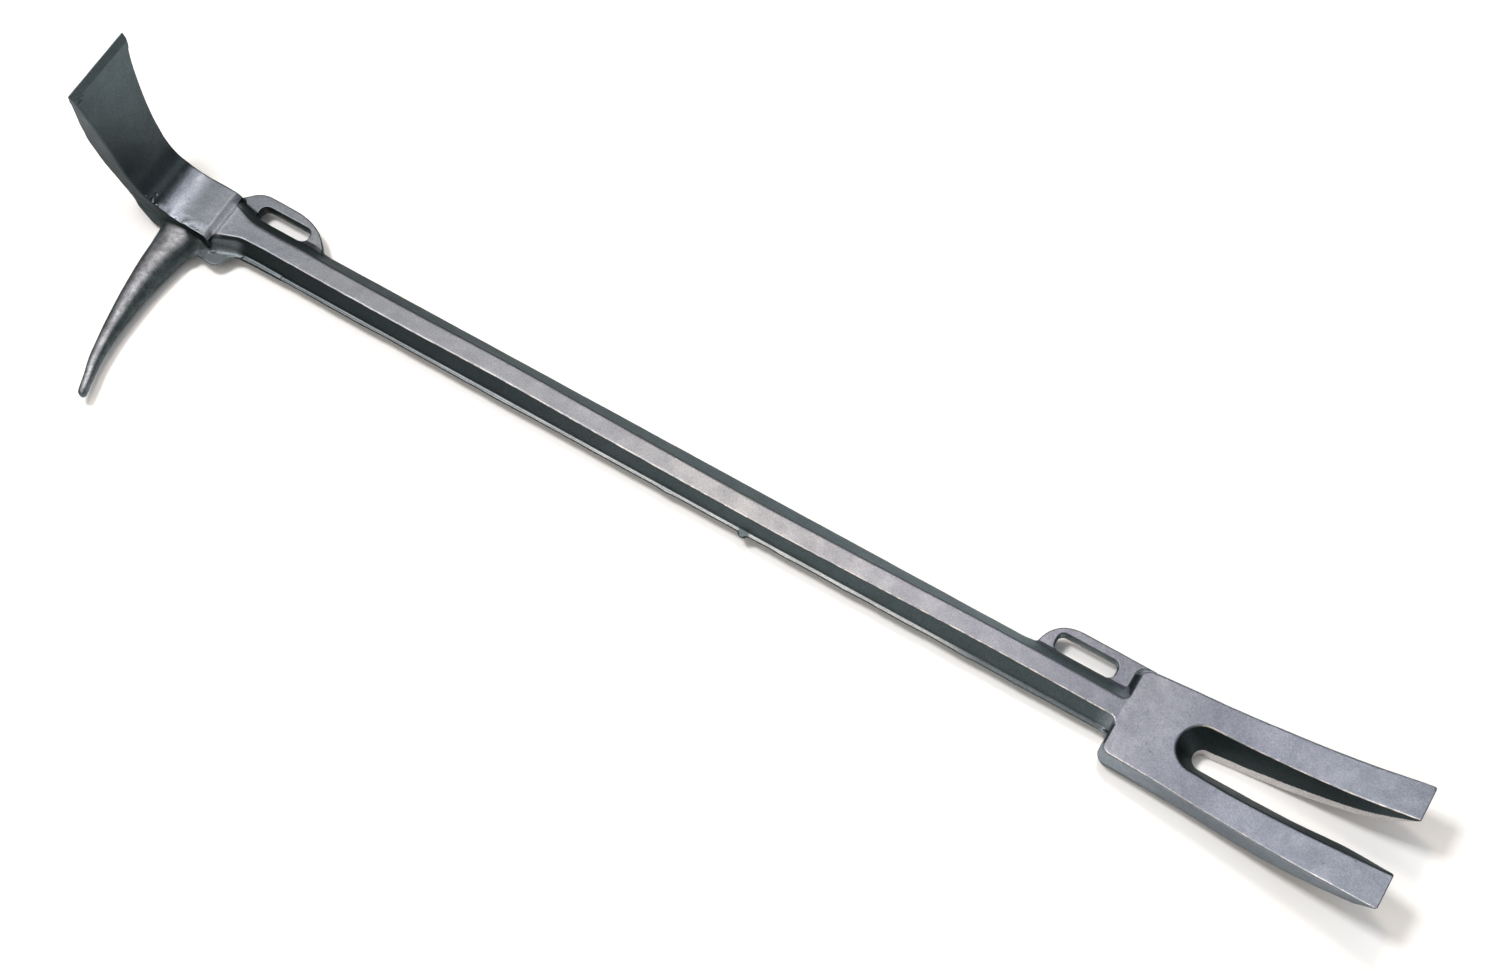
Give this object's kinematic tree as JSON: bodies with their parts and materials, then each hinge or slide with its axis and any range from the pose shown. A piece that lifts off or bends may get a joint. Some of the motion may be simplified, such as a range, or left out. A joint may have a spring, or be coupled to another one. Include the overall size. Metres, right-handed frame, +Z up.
{
  "type": "forcible-entry pry bar",
  "caption": "Forged forcible-entry pry bar: hexagonal shaft, forked claw at one end, striking block with upright adze and curved side pike at the other, slotted strap lugs.",
  "frame": {"origin": "centre of the bar's outer box in plan, on the flat underside it lies on", "axes": "+X along the shaft towards the fork, +Y away from the pike, towards the strap lugs, +Z up, the way the adze points"},
  "size_m": [0.9146, 0.191, 0.1425],
  "materials": {
    "blasted_steel": "bare alloy steel, forged and blasted to a fine satin grain, bluish grey, lightly oiled",
    "burnished_steel": "the same bare steel, burnished and mottled along the top of the pike"
  },
  "bodies": {
    "root": {"adze": "blasted_steel", "hub": "blasted_steel", "pike": "burnished_steel", "trimmed_ear": "blasted_steel", "neck": "blasted_steel", "front_strap_lug": "blasted_steel", "shaft": "blasted_steel", "rear_strap_lug": "blasted_steel", "fork_root": "blasted_steel", "near_tine": "blasted_steel", "far_tine": "blasted_steel"}
  },
  "joints": []
}
